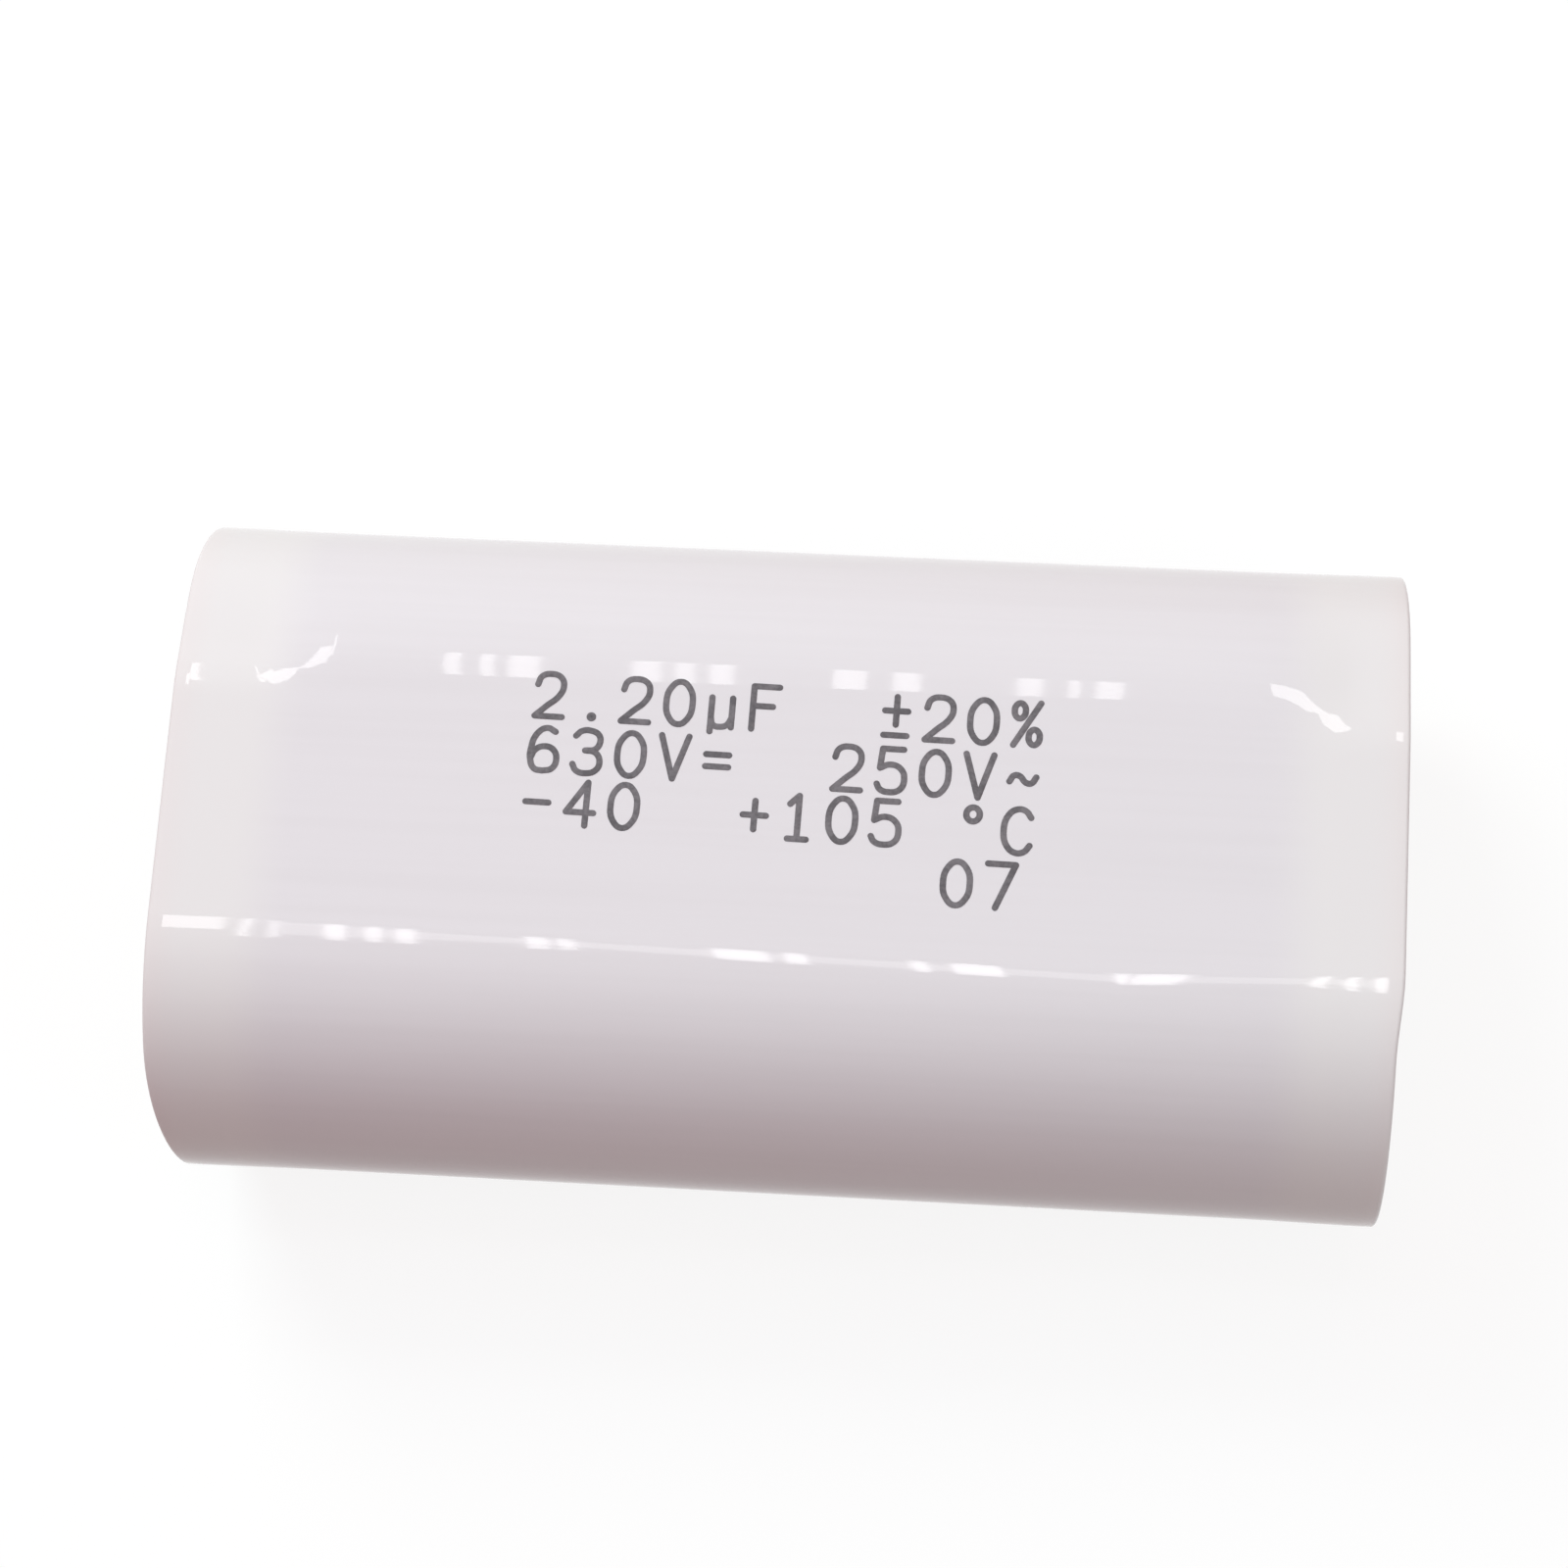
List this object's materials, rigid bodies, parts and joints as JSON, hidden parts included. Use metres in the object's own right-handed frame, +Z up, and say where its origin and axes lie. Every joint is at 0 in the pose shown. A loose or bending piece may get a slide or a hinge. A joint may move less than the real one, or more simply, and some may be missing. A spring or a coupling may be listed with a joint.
{
  "type": "film capacitor",
  "caption": "Flat oval axial film capacitor: pressed film winding in a glossy white tape sleeve, sealed with dished resin ends, each with a cropped wire lead.",
  "frame": {"origin": "on the underside of the body, below its middle", "axes": "+X along the body towards the right end, the lead axis; +Y across the body towards the back; +Z up, through the flat faces"},
  "size_m": [0.046, 0.025, 0.0154],
  "materials": {
    "wrap_tape": "glossy white polyester tape",
    "metallized_film": "silvery metallized film",
    "sprayed_metal": "rough sprayed zinc",
    "tinned_wire": "bright tinned copper",
    "solder": "smooth solder",
    "end_resin": "pale cast epoxy",
    "marking_ink": "printed dark grey ink"
  },
  "bodies": {
    "root": {"outer_wrap": "wrap_tape", "winding": "metallized_film", "end_spray_left": "sprayed_metal", "end_spray_right": "sprayed_metal", "lead_left": "tinned_wire", "lead_right": "tinned_wire", "solder_left": "solder", "solder_right": "solder", "end_fill_left": "end_resin", "end_fill_right": "end_resin"}
  },
  "joints": []
}
